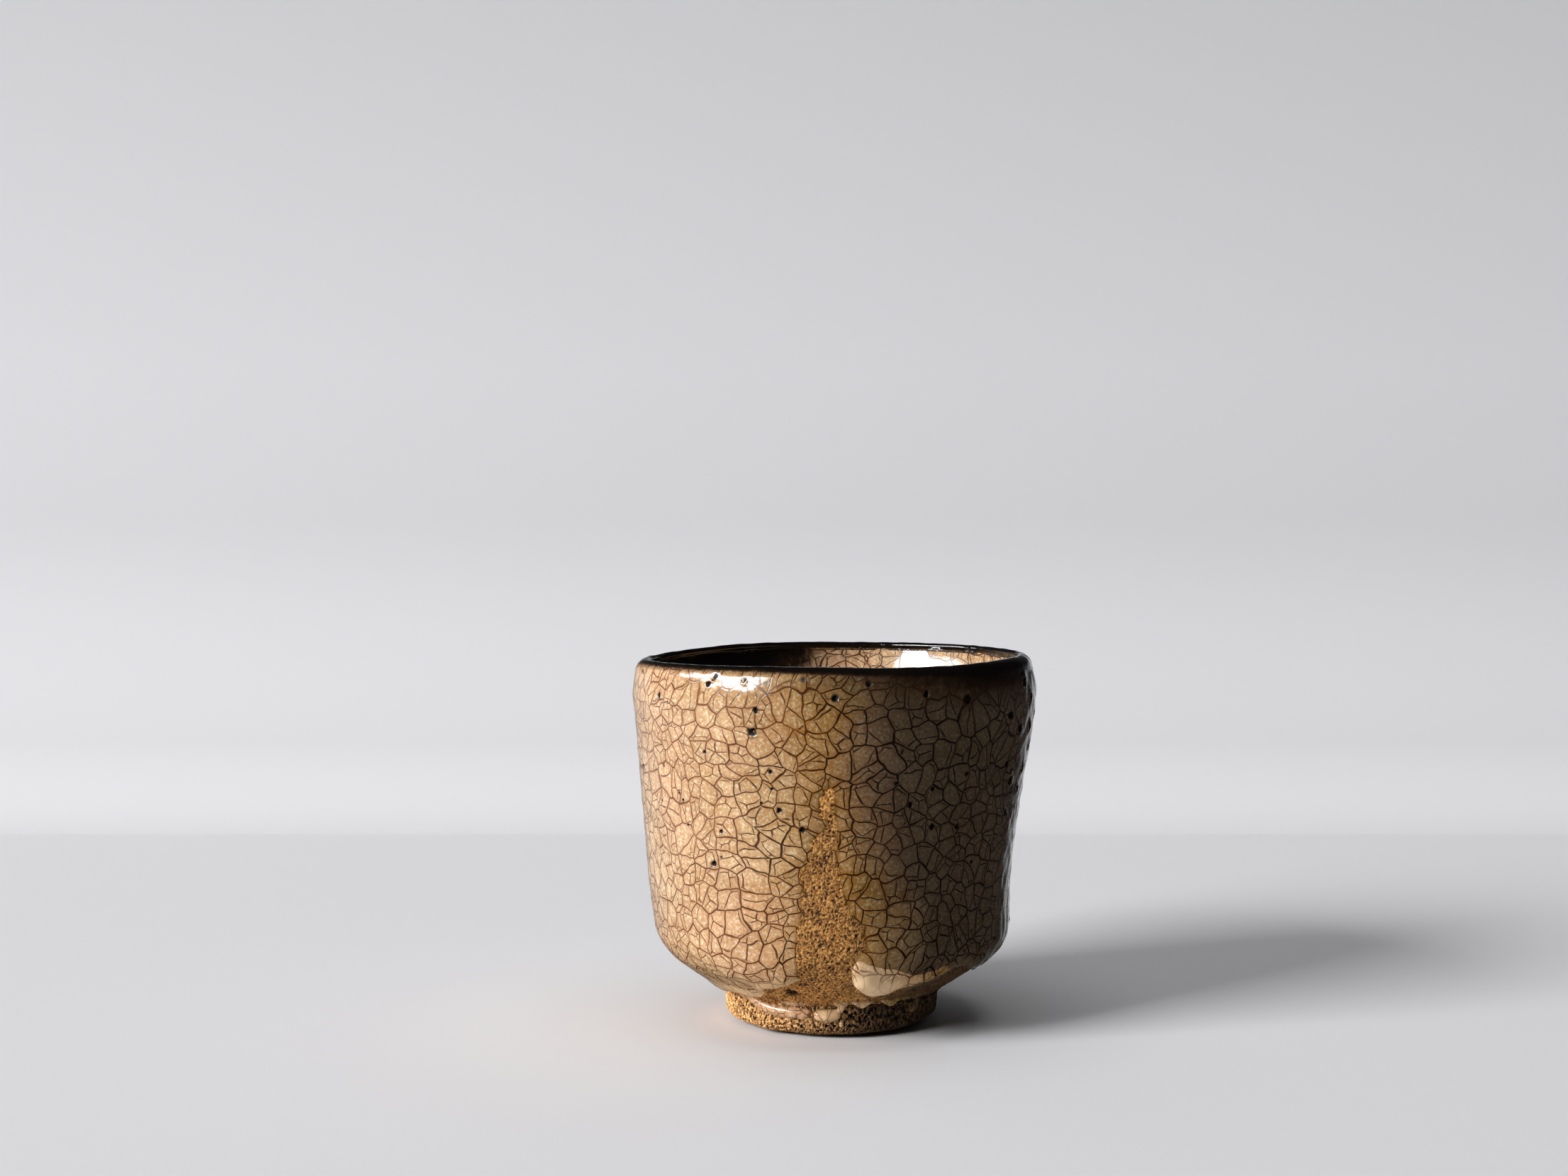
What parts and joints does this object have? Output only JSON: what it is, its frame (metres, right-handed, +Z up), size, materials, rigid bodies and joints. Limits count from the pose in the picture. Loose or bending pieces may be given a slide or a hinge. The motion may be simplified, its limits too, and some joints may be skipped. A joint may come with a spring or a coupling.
{
  "type": "tea bowl",
  "caption": "Half-cylinder stoneware tea bowl on an attached foot ring, with crackle glaze, a dark iron rim and a bare clay window; holds whisked tea.",
  "frame": {"origin": "on the bowl's axis, on the table plane under the foot ring", "axes": "+Z up along the bowl's axis, -Y towards the bare clay window in front, +X to the viewer's right"},
  "size_m": [0.1086, 0.1086, 0.098],
  "materials": {
    "stoneware": "rough bare stoneware",
    "foot_clay": "rough bare stoneware",
    "lining_glaze": "glossy crackle glaze",
    "crackle_glaze": "glossy crackle glaze",
    "iron_glaze": "glossy iron glaze",
    "thick_glaze": "thick glossy glaze",
    "bead_glaze": "thick glossy glaze",
    "streak_glaze": "thin satin glaze"
  },
  "bodies": {
    "root": {"clay_body": "stoneware", "foot_ring": "foot_clay", "inner_glaze": "lining_glaze", "outer_glaze": "crackle_glaze", "rim_glaze": "iron_glaze", "glaze_drip": "thick_glaze", "foot_beads": "bead_glaze", "foot_streak": "streak_glaze"}
  },
  "joints": []
}
